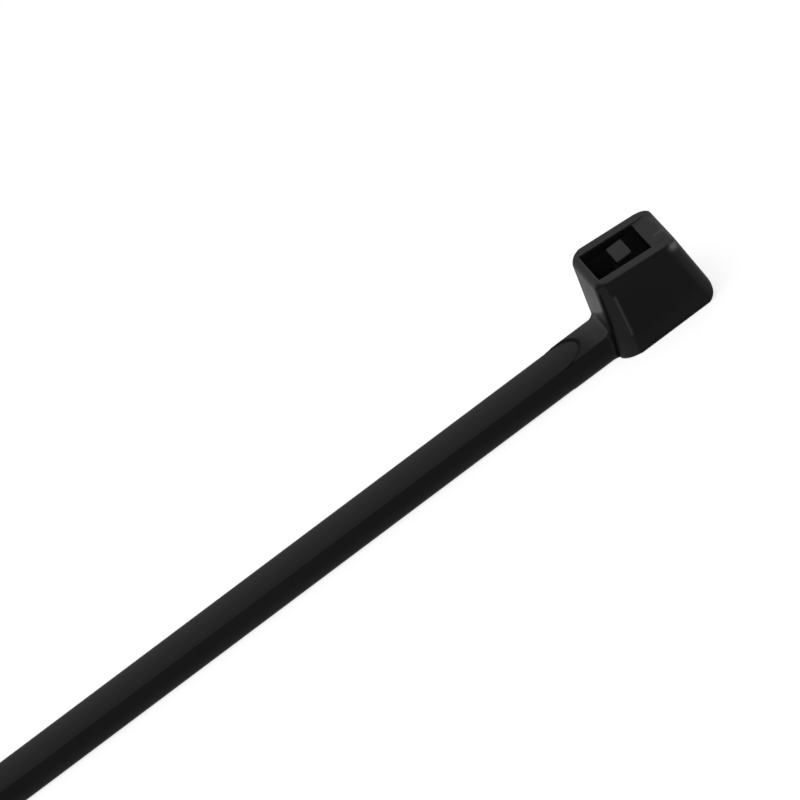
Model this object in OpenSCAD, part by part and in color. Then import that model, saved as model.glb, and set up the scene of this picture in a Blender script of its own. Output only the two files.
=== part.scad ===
// Miniature cable tie, 2.5 mm by 100 mm, moulded in one piece.
// X runs along the strap, with the head at the +X end. Z is up, and the base of the head lies on z = 0.
// The origin is the middle of the strap passage where the strap enters it.

/* [Strap] */
// Length from the free end of the head to the tip of the tail
total_length = 100; // [75:1:200]
// Width of the strap
strap_w = 2.5; // [2.2:0.05:3.2]
// Thickness of the strap
strap_t = 1.1; // [0.9:0.05:1.3]
// Rounding of the two long edges on the toothed side
strap_edge_r = 0.2; // [0.1:0.05:0.45]
// Fillet in plan where each side of the strap runs into the head
neck_fillet = 0.3; // [0.2:0.05:0.6]
// Fillet between the smooth side of the strap and the head
root_fillet = 0.25; // [0.1:0.05:0.5]

/* [Step beside the head] */
// Extra thickness of the strap between the head and the round step
pad_h = 0.05; // [0.03:0.01:0.15]
// Distance from the head to the step, along the middle of the strap
pad_length = 1.25; // [0.9:0.05:2.5]
// Radius of the step, seen from above
step_r = 1.3; // [1.3:0.05:2]
// How far the step leans, seen from above
step_slope = 0.1; // [0.02:0.01:0.2]

/* [Rack] */
// Distance from one tooth to the next
tooth_pitch = 0.9; // [0.7:0.05:1.2]
// Height of the teeth
tooth_h = 0.35; // [0.2:0.05:0.45]
// How far the steep side of a tooth leans
tooth_lean = 0.1; // [0:0.02:0.2]
// How far the tips of the teeth lie below the side rails
tooth_sunk = 0.05; // [0.02:0.01:0.15]
// Width of the side rails beside the teeth
rail_w = 0.25; // [0.15:0.05:0.35]
// Bare stretch of strap between the head and the first tooth
rack_gap_head = 12; // [5:1:25]
// Bare stretch of strap between the last tooth and the tip of the tail
rack_gap_tail = 17; // [14:1:30]

/* [Tail] */
// Length of the narrowing part of the tail
tail_length = 13; // [9:1:14]
// Width of the tail at its tip
tip_w = 1.5; // [1:0.1:2]
// Thickness of the tail at its tip
tip_t = 0.7; // [0.6:0.05:0.9]
// Number of grip ribs on the tail
grip_ribs = 7; // [3:1:8]
// Distance from one grip rib to the next
grip_pitch = 1.1; // [0.9:0.05:1.2]
// Radius of a grip rib
grip_r = 0.28; // [0.2:0.02:0.4]
// How far a grip rib stands out of the tail
grip_h = 0.12; // [0.06:0.02:0.18]
// Bare margin of the tail at each end of a grip rib
grip_margin = 0.12; // [0.05:0.01:0.3]

/* [Head] */
// Width of the head
head_w = 4.65; // [4.3:0.05:6]
// Height of the head above its strap-side edge
head_h = 3.5; // [3.2:0.05:5]
// Fall of the top face towards the free end, in degrees
top_fall = 5; // [0:0.5:8]
// Lean of the strap-side face, in degrees
strap_side_lean = 14; // [8:0.5:20]
// Lean of the free-end face, in degrees
free_end_lean = 4; // [0:0.5:8]
// Rounding of the upright corners at the free end
head_corner_r = 0.65; // [0.3:0.05:0.9]
// Length along the strap of the flat at each strap-side corner
flat_l = 0.6; // [0.3:0.02:0.8]
// Width across the strap of that flat
flat_w = 0.33; // [0.15:0.01:0.4]
// Radius of the fine groove along the strap-side edge of that flat
groove_r = 0.08; // [0.03:0.01:0.1]
// Rounding of the foot of the free-end face
foot_r = 0.45; // [0.1:0.05:0.6]
// Thickness of the strap-side wall at the top
near_wall = 0.34; // [0.3:0.01:0.6]
// Thickness of the free-end wall at the top
far_wall = 0.96; // [0.7:0.01:2]

/* [Passage and pawl] */
// Clearance of the strap through its thickness
passage_clear = 0.2; // [0.1:0.02:0.4]
// Clearance of the strap at each side
side_clear = 0.33; // [0.15:0.01:0.4]
// Length of the well behind the pawl, along the strap
well_l = 1.23; // [1.1:0.01:1.6]
// Height of the floor of the well
well_floor = 1.35; // [1.2:0.05:1.6]
// Lead-in round the strap entry
lead_in = 0.22; // [0.1:0.01:0.3]
// Depth of the lead-in
lead_in_h = 0.4; // [0.2:0.05:0.6]
// Length of the shallow ramp at the strap exit
ramp_l = 0.5; // [0.3:0.05:0.7]
// Depth of that ramp at the edge of the slot
ramp_h = 0.06; // [0.03:0.01:0.15]
// Number of teeth on the pawl
pawl_teeth = 2; // [1:1:2]
// Clearance between the pawl and each side rail of the strap
pawl_side_clear = 0.12; // [0.03:0.01:0.2]
// Thickness of the pawl at its hinge
hinge_t = 0.45; // [0.3:0.05:0.6]
// Length of the free end of the pawl, along the strap
pawl_end_l = 0.74; // [0.6:0.01:0.85]
// How far the free end of the pawl reaches into the passage
pawl_reach = 0.56; // [0.3:0.02:0.7]
// How far the free end of the pawl lies below the top face
pawl_sunk = 0; // [0:0.01:0.2]

/* [Hidden] */
nylon = [0.09, 0.09, 0.095];
$fn = 96;

// Depth by which a cut runs past the face that it opens, and a piece runs into the one that carries it
over = 1;
sunk = 0.3;

// The passage, whose middle is the origin
passage_l = strap_t + passage_clear;
far_x = passage_l / 2;
near_x = -passage_l / 2;
slot_w = strap_w + 2 * side_clear;
well_x = near_x - well_l;

// The head in side view
top_near_x = well_x - near_wall;
top_far_x = far_x + far_wall;
base_near_x = top_near_x - head_h * tan(strap_side_lean);
head_h_far = top_z(top_far_x);
base_far_x = top_far_x + head_h_far * tan(free_end_lean);
foot_x = base_far_x - foot_r * tan(free_end_lean) - foot_r / cos(free_end_lean);
head_end_x = foot_x + foot_r;

// The strap
tip_x = head_end_x - total_length;
pad_z = strap_t + pad_h;
neck_x = near_face_x(pad_z);
step_x = neck_x - pad_length - step_r;

// The rack, and the pawl that works in it
rack_w = strap_w - 2 * rail_w;
rack_near_x = base_near_x - rack_gap_head;
rack_far_x = tip_x + rack_gap_tail;
teeth = floor((rack_near_x - rack_far_x) / tooth_pitch);
tooth_root_z = tooth_sunk + tooth_h;
pawl_w = rack_w - 2 * pawl_side_clear;
pawl_x = near_x + pawl_reach;
pawl_z = top_z(pawl_x) - pawl_sunk;

// Height of the sloping top face at x, and the place of the strap-side face at height z
function top_z(x) = head_h - (x - top_near_x) * tan(top_fall);
function near_face_x(z) = base_near_x + z * tan(strap_side_lean);

// Lays an outline drawn in x and z across the part, with its width along Y
module across(width) {
    rotate([90, 0, 0])
        linear_extrude(height = width, center = true)
            children();
}

// Outline of a bar along +X with two rounded corners at x = 0
module rounded_end(length, width, r) {
    translate([r, -width / 2])
        square([length - r, width]);
    translate([0, r - width / 2])
        square([2 * r, width - 2 * r]);
    for (side = [-1, 1])
        translate([r, side * (width / 2 - r)])
            circle(r = r);
}

// Outline of a bar along +X whose end at x = 0 has a flat at each corner, with a groove along its inner edge
module flatted_end(length, width) {
    groove = groove_r / norm([flat_l, flat_w]);
    difference() {
        polygon([
            [0, flat_w - width / 2],
            [flat_l, -width / 2],
            [length, -width / 2],
            [length, width / 2],
            [flat_l, width / 2],
            [0, width / 2 - flat_w]
        ]);
        for (side = [-1, 1])
            translate([groove * flat_l, side * (width / 2 - flat_w + groove * flat_w)])
                circle(r = groove_r);
    }
}

// Section of the strap, with crisp edges on the smooth side and round ones on the toothed side
module strap_section() {
    translate([-strap_w / 2, strap_edge_r])
        square([strap_w, strap_t - strap_edge_r]);
    translate([strap_edge_r - strap_w / 2, 0])
        square([strap_w - 2 * strap_edge_r, 2 * strap_edge_r]);
    for (side = [-1, 1])
        translate([side * (strap_w / 2 - strap_edge_r), strap_edge_r])
            circle(r = strap_edge_r);
}

// Plan of the strap, which narrows to a round tip
module strap_plan() {
    translate([tip_x + tail_length, -strap_w / 2])
        square([near_x - tip_x - tail_length, strap_w]);
    polygon([
        [tip_x + tip_w / 2, -tip_w / 2],
        [tip_x + tail_length, -strap_w / 2],
        [tip_x + tail_length, strap_w / 2],
        [tip_x + tip_w / 2, tip_w / 2]
    ]);
    translate([tip_x + tip_w / 2, 0])
        circle(d = tip_w);
}

// Side view of what the thinning tail leaves off
module tail_thinning() {
    across(strap_w + 2 * over)
        polygon([
            [tip_x + tail_length, strap_t],
            [tip_x + tail_length, strap_t + over],
            [tip_x - over, strap_t + over],
            [tip_x - over, tip_t - (strap_t - tip_t) * over / tail_length]
        ]);
}

module strap_blank() {
    difference() {
        intersection() {
            translate([tip_x - over, 0, 0])
                rotate([90, 0, 90])
                    linear_extrude(height = near_x - tip_x)
                        strap_section();
            translate([0, 0, -over])
                linear_extrude(height = strap_t + 2 * over)
                    strap_plan();
        }
        tail_thinning();
    }
}

// What the rack cuts away: saw-teeth between two side rails, steep towards the head
module rack() {
    near_wall_x = rack_near_x + tooth_pitch / 2;
    end_x = rack_near_x - teeth * tooth_pitch;
    tooth_points = [
        for (i = [0 : teeth - 1])
            let (x = rack_near_x - i * tooth_pitch)
                each [[x + tooth_lean, tooth_root_z], [x, tooth_sunk]]
    ];
    across(rack_w)
        polygon(concat(
            [[near_wall_x, -over], [near_wall_x, tooth_root_z]],
            tooth_points,
            [[end_x, tooth_root_z], [end_x - tooth_root_z, -over]]
        ));
}

// Low ribs across the tail, sunk in its sloping face
module grip() {
    fall = (strap_t - tip_t) / tail_length;
    for (i = [0 : grip_ribs - 1]) {
        x = tip_x + tip_w + i * grip_pitch;
        z = tip_t + fall * (x - tip_x);
        width = tip_w + (strap_w - tip_w) * (x - tip_x) / tail_length - 2 * grip_margin;
        translate([x, 0, z + grip_h - grip_r])
            across(width)
                circle(r = grip_r);
    }
}

// Stands children upright on the leaning strap-side face, with that face at x = 0
module on_near_face() {
    translate([base_near_x, 0, 0])
        rotate([0, strap_side_lean, 0])
            translate([0, 0, -head_h])
                linear_extrude(height = 3 * head_h)
                    children();
}

// Stands children upright on the leaning free-end face, with that face at x = 0
module on_far_face() {
    translate([base_far_x, 0, 0])
        rotate([0, -free_end_lean, 0])
            translate([0, 0, -head_h])
                linear_extrude(height = 3 * head_h)
                    children();
}

// Plan of the strap where it widens in two fillets to meet the head
module neck_plan() {
    width = strap_w + 2 * neck_fillet;
    difference() {
        translate([-neck_fillet, -width / 2])
            square([neck_fillet + sunk, width]);
        for (side = [-1, 1])
            translate([-neck_fillet, side * width / 2])
                circle(r = neck_fillet);
    }
}

// Side view of the thicker stretch beside the head, from bottom_z up, with its fillet up the leaning face
module neck_side(bottom_z) {
    centre_z = pad_z + root_fillet;
    centre_x = near_face_x(centre_z) - root_fillet / cos(strap_side_lean);
    end_z = centre_z + root_fillet * sin(strap_side_lean);
    translate([step_x, bottom_z])
        square([neck_x + sunk - step_x, pad_z - bottom_z]);
    difference() {
        polygon([
            [centre_x, pad_z - pad_h],
            [neck_x + sunk, pad_z - pad_h],
            [near_face_x(end_z) + sunk, end_z],
            [near_face_x(end_z), end_z]
        ]);
        translate([centre_x, centre_z])
            circle(r = root_fillet);
    }
}

// The strap's root: the fillets at its sides, and the thicker stretch that ends in a round, leaning step
module neck() {
    intersection() {
        on_near_face()
            neck_plan();
        across(strap_w + 2 * neck_fillet)
            neck_side(0);
    }
    difference() {
        across(strap_w)
            neck_side(strap_t - sunk);
        translate([step_x, 0, strap_t])
            cylinder(r1 = step_r, r2 = step_r + step_slope * over / pad_h, h = over);
        translate([step_x - over, -strap_w / 2 - over, strap_t - over])
            cube([over, strap_w + 2 * over, 2 * over]);
    }
}

// Side view of the head between its base and its sloping top, with a round foot at the free end
module head_side() {
    foot_end_z = foot_r + foot_r * sin(free_end_lean);
    polygon([
        [base_near_x - over, 0],
        [foot_x, 0],
        [foot_x, foot_end_z],
        [base_far_x + over, foot_end_z],
        [base_far_x + over, top_z(base_far_x + over)],
        [base_near_x - over, top_z(base_near_x - over)]
    ]);
    translate([foot_x, foot_r])
        circle(r = foot_r);
}

// The leaning strap-side end with its flats and the round free end, between the base and the sloping top
module head_block() {
    reach = 2 * (base_far_x - base_near_x);
    intersection() {
        on_near_face()
            flatted_end(reach, head_w);
        on_far_face()
            mirror([1, 0])
                rounded_end(reach, head_w, head_corner_r);
        across(head_w)
            head_side();
    }
}

// The passage, and the well in which the pawl bends back
module slot() {
    across(slot_w)
        polygon([
            [near_x, -over],
            [far_x, -over],
            [far_x, head_h + over],
            [well_x, head_h + over],
            [well_x, well_floor],
            [near_x, well_floor]
        ]);
}

// Flared mouth of the passage, with mitred corners
module entry_flare() {
    flare = lead_in / lead_in_h;
    intersection() {
        across(2 * head_w)
            polygon([
                [near_x - lead_in - over * flare, -over],
                [far_x + lead_in + over * flare, -over],
                [far_x, lead_in_h],
                [near_x, lead_in_h]
            ]);
        rotate([90, 0, 90])
            linear_extrude(height = 2 * head_w, center = true)
                polygon([
                    [-slot_w / 2 - lead_in - over * flare, -over],
                    [slot_w / 2 + lead_in + over * flare, -over],
                    [slot_w / 2, lead_in_h],
                    [-slot_w / 2, lead_in_h]
                ]);
    }
}

// Shallow ramp that eases the strap out over the free-end wall
module exit_ramp() {
    across(slot_w)
        polygon([
            [far_x - sunk, top_z(far_x) - ramp_h],
            [far_x, top_z(far_x) - ramp_h],
            [far_x + ramp_l, top_z(far_x + ramp_l)],
            [far_x + ramp_l, head_h + over],
            [far_x - sunk, head_h + over]
        ]);
}

// Springy pawl, which stands on the floor of the well and leans into the passage
module pawl() {
    first_z = pawl_z - pawl_teeth * tooth_pitch;
    reach_per_z = pawl_reach / (pawl_z - well_floor);
    tooth_points = [
        for (i = [0 : pawl_teeth - 1])
            let (
                root_z = first_z + i * tooth_pitch,
                crest_z = root_z + tooth_pitch - (i < pawl_teeth - 1 ? tooth_lean : 0),
                crest_x = near_x + reach_per_z * (crest_z - well_floor)
            )
                each [[crest_x - tooth_h, root_z], [crest_x, crest_z]]
    ];
    across(pawl_w)
        polygon(concat(
            [
                [near_x - hinge_t, well_floor - sunk],
                [near_x, well_floor - sunk],
                [near_x, well_floor]
            ],
            tooth_points,
            [[pawl_x - pawl_end_l, pawl_z], [near_x - hinge_t, well_floor]]
        ));
}

module cable_tie() {
    color(nylon) {
        difference() {
            union() {
                head_block();
                strap_blank();
                neck();
                grip();
            }
            slot();
            entry_flare();
            exit_ramp();
            rack();
        }
        pawl();
    }
}

cable_tie();
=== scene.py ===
"""Dresses a miniature cable tie: one black nylon moulding on a white table."""

import math
from types import SimpleNamespace

import bmesh
import bpy
import numpy as np
from mathutils import Matrix, Vector


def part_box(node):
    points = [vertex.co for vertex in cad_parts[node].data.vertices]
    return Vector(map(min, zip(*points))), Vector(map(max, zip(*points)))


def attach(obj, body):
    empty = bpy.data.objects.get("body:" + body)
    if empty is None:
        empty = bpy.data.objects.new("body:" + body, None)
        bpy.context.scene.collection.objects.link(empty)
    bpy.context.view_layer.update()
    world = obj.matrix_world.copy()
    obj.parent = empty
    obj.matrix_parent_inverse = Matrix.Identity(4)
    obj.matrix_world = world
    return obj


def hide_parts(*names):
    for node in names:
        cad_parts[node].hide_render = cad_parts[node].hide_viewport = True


bl_info = {
    "name": "Miniature cable tie",
    "version": (1, 0, 0),
    "blender": (4, 5, 0),
    "location": "3D View > Sidebar > Cable tie",
    "description": "Makes a one-piece nylon cable tie, its finish and its studio",
    "category": "Add Mesh",
}

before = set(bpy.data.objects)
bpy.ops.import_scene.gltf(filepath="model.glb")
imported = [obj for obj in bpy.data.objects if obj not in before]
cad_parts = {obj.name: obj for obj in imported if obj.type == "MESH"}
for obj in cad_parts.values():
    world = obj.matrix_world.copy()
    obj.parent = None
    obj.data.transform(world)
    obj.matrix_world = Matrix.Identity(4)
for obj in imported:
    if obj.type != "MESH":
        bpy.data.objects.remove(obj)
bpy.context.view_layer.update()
tie_low, tie_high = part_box("cable_tie")

MM = 1000.0  # millimetres in a metre: the forms are worked out in millimetres, the meshes are in metres
ROUND_OFF = 0.000001
TINY = 0.000000001


# Properties


def length(name, description, default):
    return bpy.props.FloatProperty(
        name=name, description=description, default=default, min=0.0, unit="LENGTH", precision=5
    )


def tilt(name, description, degrees):
    return bpy.props.FloatProperty(
        name=name, description=description, default=math.radians(degrees), subtype="ANGLE", unit="ROTATION"
    )


def share(name, description, default, top=1.0):
    return bpy.props.FloatProperty(
        name=name, description=description, default=default, min=0.0, max=top, subtype="FACTOR", precision=4
    )


def shade(name, description, default):
    return bpy.props.FloatVectorProperty(
        name=name, description=description, default=default, size=3, min=0.0, max=1.0, subtype="COLOR"
    )


class TieStrapSettings(bpy.types.PropertyGroup):
    width: length("Width", "Width of the strap", 0.0025)
    thickness: length("Thickness", "Thickness of the strap", 0.0011)
    crown: length("Crown", "How far the smooth side falls from its middle to its edges", 0.000055)
    top_edge: length("Smooth-side edge", "Rounding of the edges on the smooth side", 0.00005)
    foot_edge: length("Toothed-side edge", "Rounding of the edges on the toothed side", 0.0002)
    neck_fillet: length("Neck fillet", "Fillet at each side, where the strap meets the head", 0.0003)
    root_fillet: length("Root fillet", "Fillet from the smooth side up the head", 0.00025)
    pad_height: length("Pad height", "Extra thickness beside the head", 0.00005)
    pad_length: length("Pad length", "From the head to the round step", 0.00125)
    step_radius: length("Step radius", "Radius of the round step, from above", 0.0013)
    step_slope: length("Step slope", "How far the round step leans, from above", 0.0001)
    tail_length: length("Tail length", "Length of the narrowing tail", 0.013)
    tip_width: length("Tip width", "Width of the tail at its tip", 0.0015)
    tip_thickness: length("Tip thickness", "Thickness of the tail at its tip", 0.0007)


class TieRackSettings(bpy.types.PropertyGroup):
    pitch: length("Tooth pitch", "From one tooth to the next", 0.0009)
    height: length("Tooth height", "Height of a tooth", 0.00035)
    lean: length("Tooth lean", "How far the steep side of a tooth leans", 0.0001)
    sunk: length("Tooth depth", "How far the tips lie below the side rails", 0.00005)
    rail: length("Rail width", "Width of each side rail", 0.00025)
    gap_head: length("Bare at the head", "From the head to the first tooth", 0.012)
    gap_tail: length("Bare at the tail", "From the last tooth to the tip", 0.017)
    rib_count: bpy.props.IntProperty(
        name="Grip ribs", description="Number of ribs on the tail", default=7, min=1, max=8
    )
    rib_pitch: length("Rib pitch", "From one grip rib to the next", 0.0011)
    rib_radius: length("Rib radius", "Radius of a grip rib", 0.00028)
    rib_height: length("Rib height", "How far a grip rib stands out", 0.00012)
    rib_margin: length("Rib margin", "Bare tail at each end of a rib", 0.00012)


class TieHeadSettings(bpy.types.PropertyGroup):
    width: length("Width", "Width of the head", 0.00465)
    height: length("Height", "Height above the strap-side edge", 0.0035)
    top_fall: tilt("Top fall", "Fall of the top towards the free end", 5.0)
    strap_lean: tilt("Strap-side lean", "Lean of the strap-side face", 14.0)
    free_lean: tilt("Free-end lean", "Lean of the free-end face", 4.0)
    flat_length: length("Flat length", "Length along the strap of the strap-side corners' flats", 0.0006)
    flat_width: length("Flat width", "Width across the strap of those flats", 0.00033)
    flat_top: share("Flat at the top", "Size of the flats at the top", 0.86, 2.0)
    flat_foot: share("Flat at the foot", "Size of the flats at the foot", 1.33, 2.0)
    flat_flare: share("Flat flare", "Share by which the flats are longer a little above the foot", 0.08)
    flat_near: length("Flat's inner edge", "Rounding from the strap-side face to the flats", 0.00036)
    flat_near_foot: length("Inner edge at the foot", "The same rounding, at the foot", 0.0006)
    flat_edge: length("Flat edge", "Rounding of the outer edge of the flats", 0.00008)
    groove_top: length("Groove at the top", "Radius of the groove beside each flat, at the top", 0.000035)
    groove_foot: length("Groove at the foot", "Radius of that groove at the foot", 0.000095)
    groove_sunk: length("Groove depth", "How far the middle of the groove lies under the flat", 0.000055)
    groove_in: length("Groove inwards", "How far the groove bends off the flat's edge at the foot", 0.00045)
    near_foot: length("Strap-side foot", "Rounding of the foot of the strap-side face", 0.0001)
    corner_free: length("Free-end corner", "Rounding of the free-end corners", 0.00065)
    top_edge: length("Top edge", "Rounding of the top edge", 0.00008)
    near_edge: length("Strap-side top edge", "Rounding of the top edge over the strap", 0.0003)
    foot_edge: length("Foot edge", "Rounding of the foot", 0.00006)
    far_foot: length("Free-end foot", "Rounding of the foot of the free-end face", 0.00072)
    near_wall: length("Strap-side wall", "Strap-side wall at the top", 0.00034)
    far_wall: length("Free-end wall", "Free-end wall at the top", 0.00096)
    passage_clear: length("Passage clearance", "Clearance through the strap's thickness", 0.0002)
    side_clear: length("Side clearance", "Clearance at each side of the strap", 0.00033)
    well_length: length("Well length", "Length of the well behind the pawl", 0.00123)
    well_floor: length("Well floor", "Height of the floor of the well", 0.00135)
    lead_in: length("Lead-in", "Lead-in round the strap entry", 0.00022)
    lead_in_depth: length("Lead-in depth", "Depth of the lead-in", 0.0004)
    ramp_length: length("Exit ramp length", "Length of the exit ramp", 0.0005)
    ramp_depth: length("Exit ramp depth", "Depth of the exit ramp at the slot", 0.00006)
    slot_corner: length("Slot corner", "Rounding of the slot's upright corners", 0.00008)
    rim: length("Slot rim", "Rounding of the slot's rims", 0.00005)
    hinge: length("Hinge", "Thickness of the pawl at its hinge", 0.00045)
    pawl_end: length("Pawl end", "Length of the pawl's free end", 0.00074)
    pawl_reach: length("Pawl reach", "How far the pawl reaches into the passage", 0.00056)
    pawl_sunk: length("Pawl depth", "How far the pawl lies below the top", 0.0)
    pawl_clear: length("Pawl clearance", "Clearance to each side rail", 0.00012)
    pawl_teeth: bpy.props.IntProperty(
        name="Pawl teeth", description="Number of teeth on the pawl", default=2, min=1, max=2
    )
    mesh_step: length("Mesh step", "Size of the moulded skin's quads", 0.000045)


# Amounts of painted light and painted shade: lighter nylon stands in for highlights, sheen and light, darker
# matt nylon for shade
class TiePaintedLightSettings(bpy.types.PropertyGroup):
    # Painted highlight: a thin light line down the outer edge of each flat
    rubbed_line: share("Line", "Rubbed share along the outer edge of each flat", 0.32)
    # Painted reflection: the flats at the strap-side corners are painted lighter, most of all near the foot
    rubbed_flat: share("Flats", "Rubbed share on the flats", 0.07)
    # Painted sheen: the top of the head is painted lighter than the strap
    rubbed_top: share("Top", "Rubbed share on the top of the head", 0.1)
    # Painted sheen on the rounded free-end corners
    rubbed_corner: share("Free-end corners", "Rubbed share on the free-end corners", 0.075)
    # Painted light: the sides of the head are painted lighter towards the foot
    rubbed_low: share("Foot of the head", "Rubbed share low on the sides of the head", 0.03)
    # Painted light inside the passage and the well, which lie in shade
    rubbed_slot: share("Slot", "Rubbed share inside the head", 0.05)
    # Painted light on the pad beside the head, against the head's shade
    rubbed_pad: share("Pad", "Rubbed share on the pad beside the head", 0.13)
    # Painted light on the fillet up the head, against the shade in that hollow
    rubbed_root: share("Root", "Rubbed share on the fillet up the head", 0.07)
    # Painted reflection of the table, on the lower half of the strap's sides and along their lower edge
    rubbed_side: share("Strap's sides", "Rubbed share on the lower half of the strap's sides", 0.06)
    rubbed_side_foot: share("Foot of the sides", "Rubbed share along their lower edge", 0.28)
    # Painted shadow along the round step
    matt_step: share("Matt step", "Matt share along the round step", 0.8)
    # Painted shade in the groove beside each flat
    matt_groove: share("Matt groove", "Matt share in the groove beside each flat", 0.85)
    # Painted shade low on the strap-side face
    matt_face: share("Matt face", "Matt share low on the strap-side face", 0.22)
    # Painted shade over the highlight along the edges of the exit ramp
    matt_ramp: share("Matt ramp", "Matt share along the edges of the exit ramp, near the slot", 0.25)
    matt_ramp_end: share("Matt ramp end", "Matt share along the same edges, near their end", 0.55)


class TieFinishSettings(bpy.types.PropertyGroup):
    colour: shade("Nylon", "Colour of the nylon", (0.0038, 0.0038, 0.0043))
    # Colour of the painted highlights, sheen and light, and of the few scuffs
    rubbed: shade("Rubbed nylon", "Colour where it is rubbed to a bare shine", (0.100, 0.100, 0.106))
    specular: share("Specular", "Specular level of the nylon", 0.06)
    roughness: share("Roughness", "Roughness of the nylon", 0.42)
    grain: length("Grain size", "Size of the mould's spark-eroded grain", 0.00009)
    grain_depth: length("Grain depth", "Depth of that grain", 0.0000012)
    flow: length("Flow mark size", "Size of the faint flow marks", 0.0016)
    flow_stretch: share("Flow stretch", "How much narrower the marks are drawn along the strap", 0.35)
    flow_gain: bpy.props.FloatProperty(
        name="Flow gain", description="How much lighter the nylon is in a flow mark", default=1.5, min=1.0
    )
    flow_polish: share("Flow polish", "How much less rough the nylon is outside the flow marks", 0.03)
    flow_dull: share("Flow dullness", "How much rougher the nylon is in the flow marks", 0.04)
    # Painted shade: the share of the nylon's colour left where it is matt
    matt_dark: share("Matt darkness", "Share of the nylon's colour that is left where it is matt", 0.3)


class TieStageSettings(bpy.types.PropertyGroup):
    floor_half: length("Floor reach", "Half the side of the floor", 6.0)
    floor_colour: shade("Floor", "Colour of the floor", (0.9, 0.9, 0.9))
    shadow_share: share("Shadow", "Share of the floor's white that the lamps give", 0.22)
    flag_azimuth: tilt("Flag azimuth", "Direction of the black flag behind the strap", 165.0)
    flag_height: tilt("Flag height", "Height of the middle of the flag", 5.0)
    flag_reach: tilt("Flag reach", "Half the width of the flag, to the end of its soft edge", 40.0)
    flag_core: tilt("Flag core", "Half the width of its fully dark middle", 15.0)
    azimuth: tilt("Azimuth", "Camera's turn from the front", -0.8116)
    elevation: tilt("Elevation", "Camera's height over the table", 23.4796)
    roll: tilt("Roll", "Camera's roll", 36.5345)
    distance: length("Distance", "From the camera to the aim point", 0.3816)
    aim: bpy.props.FloatVectorProperty(
        name="Aim",
        description="Point in the middle of the picture",
        default=(-0.011301, 0.000869, 0.003443),
        size=3,
        subtype="XYZ",
        unit="LENGTH",
        precision=5,
    )
    lens: bpy.props.FloatProperty(
        name="Lens", description="Focal length of the camera", default=417.696, min=1.0, unit="CAMERA"
    )


# Measures that follow from the properties


class Measures:
    """The tie's derived sizes, in millimetres, from the same rules as the part's source"""

    def __init__(self, scene):
        def in_mm(group):
            """A group's values, with its lengths in millimetres"""
            sizes = SimpleNamespace()
            for name in group.__annotations__:
                rule = group.bl_rna.properties[name]
                factor = MM if rule.type == "FLOAT" and rule.unit == "LENGTH" else 1
                setattr(sizes, name, getattr(group, name) * factor)
            return sizes

        self.strap = in_mm(scene.tie_strap)
        self.rack = in_mm(scene.tie_rack)
        self.head = in_mm(scene.tie_head)
        strap, rack, head = self.strap, self.rack, self.head
        self.far_x = (strap.thickness + head.passage_clear) / 2
        self.near_x = -self.far_x
        self.slot_half = strap.width / 2 + head.side_clear
        self.well_x = self.near_x - head.well_length
        self.top_near_x = self.well_x - head.near_wall
        self.top_far_x = self.far_x + head.far_wall
        self.base_near_x = self.top_near_x - head.height * math.tan(head.strap_lean)
        self.base_far_x = self.top_far_x + self.top(self.top_far_x) * math.tan(head.free_lean)
        self.tip_x = tie_low[0] * MM
        self.pad_z = strap.thickness + strap.pad_height
        self.neck_x = self.near_face(self.pad_z)
        self.step_x = self.neck_x - strap.pad_length - strap.step_radius
        self.rack_half = strap.width / 2 - rack.rail
        self.rack_near_x = self.base_near_x - rack.gap_head
        span = self.rack_near_x - self.tip_x - rack.gap_tail
        self.teeth = int(span / rack.pitch + ROUND_OFF)
        self.root_z = rack.sunk + rack.height
        self.pawl_half = self.rack_half - head.pawl_clear
        self.pawl_x = self.near_x + head.pawl_reach
        self.pawl_z = self.top(self.pawl_x) - head.pawl_sunk

    def top(self, x):
        """Height of the head's top at a place along the strap"""
        return self.head.height - (x - self.top_near_x) * math.tan(self.head.top_fall)

    def near_face(self, z):
        """Place along the strap of the strap-side face at a height"""
        return self.base_near_x + z * math.tan(self.head.strap_lean)


# Small blends and overlaps of the forms, in millimetres

STEP_BLEND = 0.015
GROOVE_BLEND = 0.02
WELL_BLEND = 0.04
PAWL_BLEND = 0.05
WELL_OVERLAP = 0.1  # of the well into the passage
PAWL_ROOT = 0.3  # under the floor of the well
STRAP_END = 0.62  # from the well, inside the strap-side wall
TOP_EDGE_REACH = 0.3  # into the well
TOOTH_OVERLAP = 0.02  # into each side rail
TOOTH_ROOT = 0.05  # into the strap

# Borders between which a form changes: heights over the foot in millimetres, where nothing else is said

FLARE_RISE = (-0.1, 0.5)
FLARE_FALL = (0.6, 0.85)
INNER_EDGE_RISE = (0.0, 1.4)
GROOVE_BEND = (0.0, 1.8)
GROOVE_FADE = (-0.5, -0.1)  # from the top edge
GROOVE_SHIFT = 0.35  # share of its radius by which the groove's middle lies along the flat
GROOVE_FOOT_DEPTH = 0.02  # how far its middle lies under the strap-side face at the foot
NECK_RISE = (0.0, 0.6)
NECK_FOOT_SHARE = 0.4
NECK_SIDE = (-0.2, 0.05)  # from the strap's side, outwards


# Forms as signed distances, negative inside the nylon


def edge(a, b, radius):
    """The space inside both faces, with their shared edge rounded"""
    corner = np.hypot(np.maximum(a + radius, 0.0), np.maximum(b + radius, 0.0))
    return np.minimum(np.maximum(a, b), -radius) + corner


def fillet(a, b, radius):
    """Two forms that flow into each other"""
    return -edge(-a, -b, radius)


def ease(value, rise):
    """A soft rise from 0 to 1 between two borders"""
    low, high = rise
    t = np.clip((value - low) / (high - low), 0.0, 1.0)
    return t * t * (3.0 - 2.0 * t)


def fade(value, fall):
    """A soft fall from 1 to 0 between two borders"""
    return 1.0 - ease(value, fall)


def band(value, rise, fall):
    """A soft rise from 0 to 1, and further on a soft fall back"""
    return ease(value, rise) * fade(value, fall)


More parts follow.
